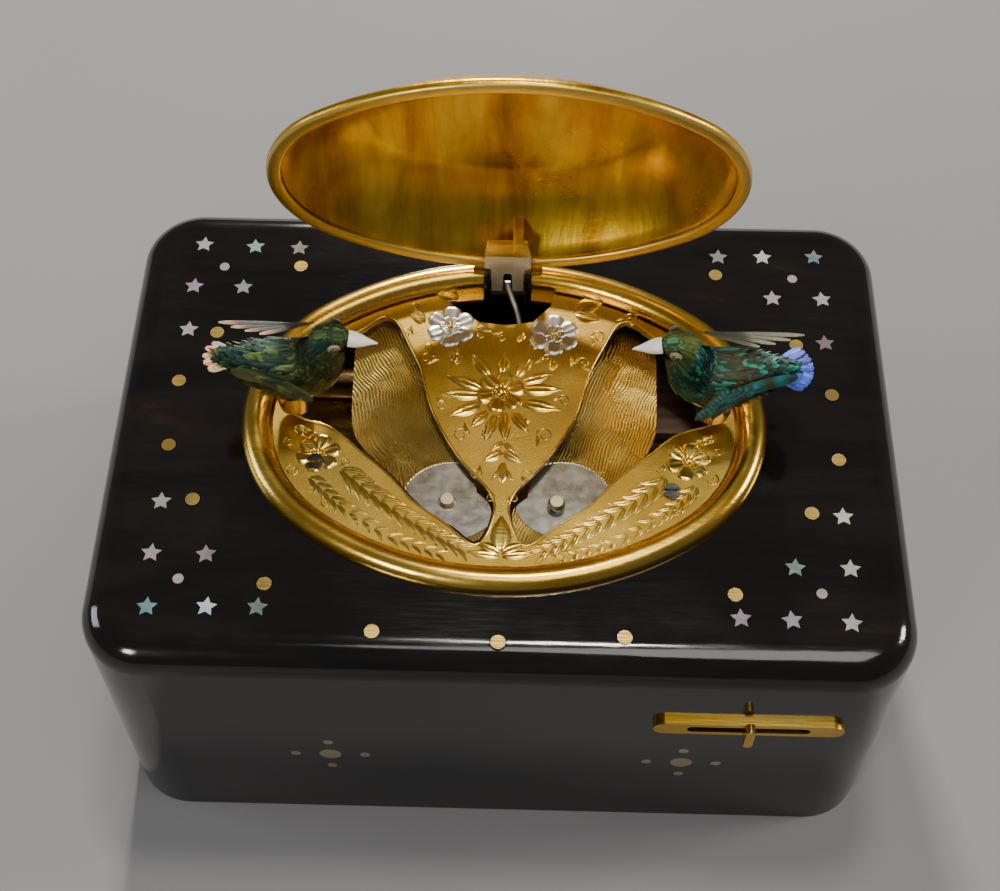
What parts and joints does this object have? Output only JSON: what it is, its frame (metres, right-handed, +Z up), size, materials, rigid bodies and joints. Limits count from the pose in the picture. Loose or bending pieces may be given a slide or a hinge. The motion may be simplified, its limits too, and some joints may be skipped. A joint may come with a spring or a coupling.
{
  "type": "double singing-bird box",
  "caption": "Lacquered music box with an oval gilt lid that opens over two small birds, which turn, flap and fold down on their perches.",
  "frame": {"origin": "centre of the underside of the case", "axes": "+X to the right, +Y from the front with the start slide towards the lid hinge, +Z up"},
  "size_m": [0.1, 0.071, 0.09],
  "materials": {
    "lacquer": "glossy black tortoiseshell lacquer with faint brown streaks",
    "base_lacquer": "black lacquer",
    "screw_steel": "blued steel screws",
    "pearl_shell": "mother of pearl",
    "gold_inlay": "polished gold",
    "gilt_bezel": "gilt, engraved leaf scroll",
    "gilt_grille": "gilt, engraved",
    "silver_ornament": "silver",
    "gilt_slide": "gilt",
    "hinge_steel": "polished steel",
    "gilt_lid": "gilt, engraved rim, polished dish",
    "brass_frame": "satin brass",
    "brass_train": "satin brass",
    "blued_spring": "blued steel",
    "arbor_steel": "polished steel",
    "bellows_wood": "oiled boxwood",
    "bellows_skin": "thin kid skin",
    "brass_whistle": "drawn brass",
    "piston_steel": "polished steel",
    "post_steel": "polished steel",
    "gold_rivet": "polished gold",
    "gilt_shutter": "gilt, engraved feathers",
    "brass_bracket": "satin brass",
    "perch_steel": "steel wire",
    "gold_collar": "polished gold",
    "left_plumage": "dark green feathers",
    "right_plumage": "blue-green feathers",
    "ivory_beak": "ivory",
    "glass_eye": "glass bead",
    "left_wing_feathers": "dark green feathers, pale tips",
    "right_wing_feathers": "turquoise feathers",
    "left_tail_feathers": "dark feathers, orange and white tips",
    "right_tail_feathers": "bright blue feathers"
  },
  "bodies": {
    "case": {"case_shell": "lacquer", "base_plate": "base_lacquer", "base_screws": "screw_steel", "star_inlays": "pearl_shell", "gold_disc_inlays": "gold_inlay", "pearl_dot_inlays": "pearl_shell", "panel_disc_inlays": "gold_inlay", "bezel": "gilt_bezel", "grille": "gilt_grille", "grille_screws": "screw_steel", "rosettes": "silver_ornament", "slide_track": "gilt_slide", "hinge_block": "hinge_steel", "hinge_pin": "hinge_steel", "main_plate": "brass_frame", "top_plate": "brass_frame", "pillars": "brass_frame", "movement_screws": "screw_steel", "click": "arbor_steel", "bellows_base": "bellows_wood", "bellows_leather": "bellows_skin", "whistle_tube": "brass_whistle", "shutter_posts": "post_steel", "shutter_rivets": "gold_rivet", "left_bracket": "brass_bracket", "right_bracket": "brass_bracket"},
    "lid": {"lid": "gilt_lid", "lid_lug": "gilt_lid"},
    "lid_lever": {"lid_lever": "hinge_steel"},
    "start_slide": {"start_slide": "gilt_slide"},
    "barrel": {"spring_barrel": "brass_train", "mainspring": "blued_spring"},
    "winding": {"winding_arbor": "arbor_steel", "ratchet_wheel": "arbor_steel"},
    "cams": {"cam_arbor": "brass_train"},
    "fly": {"fly": "arbor_steel"},
    "bellows": {"bellows_top": "bellows_wood"},
    "piston": {"whistle_piston": "piston_steel"},
    "left_shutter": {"left_shutter": "gilt_shutter"},
    "right_shutter": {"right_shutter": "gilt_shutter"},
    "left_perch": {"left_perch": "perch_steel"},
    "left_bird": {"left_body": "left_plumage", "left_collar": "gold_collar", "left_upper_beak": "ivory_beak", "left_eyes": "glass_eye"},
    "left_lower_beak": {"left_lower_beak": "ivory_beak"},
    "left_near_wing": {"left_near_wing": "left_wing_feathers"},
    "left_far_wing": {"left_far_wing": "left_wing_feathers"},
    "left_tail": {"left_tail": "left_tail_feathers"},
    "right_perch": {"right_perch": "perch_steel"},
    "right_bird": {"right_body": "right_plumage", "right_collar": "gold_collar", "right_upper_beak": "ivory_beak", "right_eyes": "glass_eye"},
    "right_lower_beak": {"right_lower_beak": "ivory_beak"},
    "right_near_wing": {"right_near_wing": "right_wing_feathers"},
    "right_far_wing": {"right_far_wing": "right_wing_feathers"},
    "right_tail": {"right_tail": "right_tail_feathers"}
  },
  "joints": [
    {"name": "lid_hinge", "type": "hinge", "parent": "case", "child": "lid", "pos_m": [0, 0.0232, 0.0464], "axis": [1, 0, 0], "range_deg": [0, 80]},
    {"name": "lid_lever_pivot", "type": "hinge", "parent": "case", "child": "lid_lever", "pos_m": [0, 0.017, 0.037], "axis": [1, 0, 0], "range_deg": [-1, 26]},
    {"name": "left_shutter_pivot", "type": "hinge", "parent": "case", "child": "left_shutter", "pos_m": [-0.0068, -0.011, 0.0425], "axis": [0, 0, 1], "range_deg": [-58, 0]},
    {"name": "left_perch_fold", "type": "hinge", "parent": "case", "child": "left_perch", "pos_m": [-0.02635, -0.0034, 0.041], "axis": [-0.4046, 0.5569, -0.7254], "range_deg": [0, 82.5]},
    {"name": "left_bird_turn", "type": "hinge", "parent": "left_perch", "child": "left_bird", "pos_m": [-0.0264, 0.0014, 0.046], "axis": [0, 0, 1], "range_deg": [-20, 0]},
    {"name": "left_beak_hinge", "type": "hinge", "parent": "left_bird", "child": "left_lower_beak", "pos_m": [-0.01911, 0.0014, 0.05963], "axis": [0, -1, 0], "range_deg": [-18, 0]},
    {"name": "left_far_wing_hinge", "type": "hinge", "parent": "left_bird", "child": "left_far_wing", "pos_m": [-0.0258, 0.0053, 0.056], "axis": [-1, 0, 0], "range_deg": [-30, 0]},
    {"name": "left_near_wing_hinge", "type": "hinge", "parent": "left_bird", "child": "left_near_wing", "pos_m": [-0.0258, -0.0025, 0.056], "axis": [1, 0, 0], "range_deg": [-30, 0]},
    {"name": "left_tail_hinge", "type": "hinge", "parent": "left_bird", "child": "left_tail", "pos_m": [-0.0329, 0.0014, 0.0553], "axis": [0, -1, 0], "range_deg": [-10, 10]},
    {"name": "right_shutter_pivot", "type": "hinge", "parent": "case", "child": "right_shutter", "pos_m": [0.0068, -0.011, 0.0425], "axis": [0, 0, 1], "range_deg": [0, 58]},
    {"name": "right_perch_fold", "type": "hinge", "parent": "case", "child": "right_perch", "pos_m": [0.02635, -0.0034, 0.041], "axis": [-0.4046, -0.5569, 0.7254], "range_deg": [0, 82.5]},
    {"name": "right_bird_turn", "type": "hinge", "parent": "right_perch", "child": "right_bird", "pos_m": [0.0264, 0.0014, 0.046], "axis": [0, 0, -1], "range_deg": [-20, 0]},
    {"name": "right_beak_hinge", "type": "hinge", "parent": "right_bird", "child": "right_lower_beak", "pos_m": [0.01911, 0.0014, 0.05963], "axis": [0, 1, 0], "range_deg": [-18, 0]},
    {"name": "right_far_wing_hinge", "type": "hinge", "parent": "right_bird", "child": "right_far_wing", "pos_m": [0.0258, 0.0053, 0.056], "axis": [-1, 0, 0], "range_deg": [-30, 0]},
    {"name": "right_near_wing_hinge", "type": "hinge", "parent": "right_bird", "child": "right_near_wing", "pos_m": [0.0258, -0.0025, 0.056], "axis": [1, 0, 0], "range_deg": [-30, 0]},
    {"name": "right_tail_hinge", "type": "hinge", "parent": "right_bird", "child": "right_tail", "pos_m": [0.0329, 0.0014, 0.0553], "axis": [0, 1, 0], "range_deg": [-10, 10]},
    {"name": "start_slide_travel", "type": "slide", "parent": "case", "child": "start_slide", "axis": [1, 0, 0], "range_m": [-0.006, 0.006], "stiffness_N_per_m": 60},
    {"name": "barrel_spin", "type": "hinge", "parent": "case", "child": "barrel", "pos_m": [-0.02, 0, 0.015], "axis": [0, 0, 1], "continuous": true},
    {"name": "cam_spin", "type": "hinge", "parent": "case", "child": "cams", "pos_m": [-0.005, 0, 0.015], "axis": [0, 0, 1], "continuous": true},
    {"name": "fly_spin", "type": "hinge", "parent": "case", "child": "fly", "pos_m": [0.005, 0, 0.015], "axis": [0, 0, 1], "continuous": true},
    {"name": "winding_spin", "type": "hinge", "parent": "case", "child": "winding", "pos_m": [-0.02, 0, 0.015], "axis": [0, 0, 1], "continuous": true},
    {"name": "bellows_hinge", "type": "hinge", "parent": "case", "child": "bellows", "pos_m": [0.0085, 0.014, 0.0319], "axis": [0, -1, 0], "range_deg": [-8, 0], "deforming": ["bellows_leather"]},
    {"name": "piston_slide", "type": "slide", "parent": "case", "child": "piston", "axis": [1, 0, 0], "range_m": [-0.008, 0]}
  ],
  "couplings": [
    {"joint": "lid_lever_pivot", "follows": "lid_hinge", "ratio": 0.3},
    {"joint": "left_shutter_pivot", "follows": "lid_hinge", "ratio": -0.725},
    {"joint": "left_perch_fold", "follows": "lid_hinge", "ratio": 1.0312},
    {"joint": "left_near_wing_hinge", "follows": "left_far_wing_hinge", "ratio": 1},
    {"joint": "right_shutter_pivot", "follows": "lid_hinge", "ratio": 0.725},
    {"joint": "right_perch_fold", "follows": "lid_hinge", "ratio": 1.0312},
    {"joint": "right_near_wing_hinge", "follows": "right_far_wing_hinge", "ratio": 1},
    {"joint": "cam_spin", "follows": "barrel_spin", "ratio": -4},
    {"joint": "fly_spin", "follows": "barrel_spin", "ratio": 16}
  ]
}
